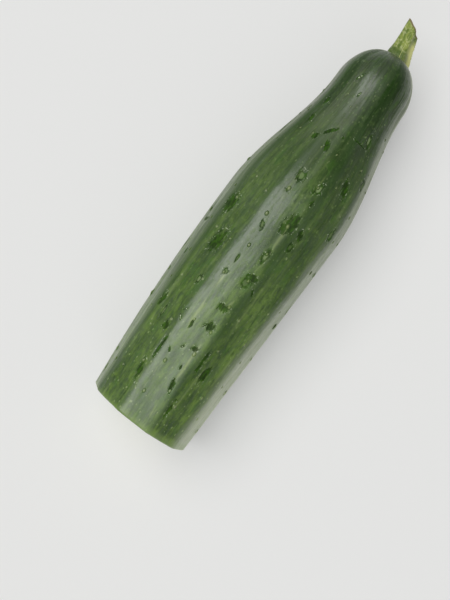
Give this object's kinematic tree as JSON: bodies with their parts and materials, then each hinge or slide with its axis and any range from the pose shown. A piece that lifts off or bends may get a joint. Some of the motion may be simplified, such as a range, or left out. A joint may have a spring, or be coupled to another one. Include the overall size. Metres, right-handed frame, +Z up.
{
  "type": "cut cucumber",
  "caption": "Dark green ridged cucumber lying on its side, cut straight across near the blossom end, with a warty skin, a narrowing neck, a domed end and a stub of stem.",
  "frame": {"origin": "bottom centre of the bounding box, on the surface that the cucumber lies on", "axes": "+X runs along the cucumber from its cut face to its stem, +Z is up, +Y is across it, on the side that the neck bends away from"},
  "size_m": [0.1938, 0.0514, 0.0489],
  "materials": {
    "skin": null,
    "stem": null
  },
  "bodies": {
    "root": {"fruit": "skin", "stem": "stem"}
  },
  "joints": []
}
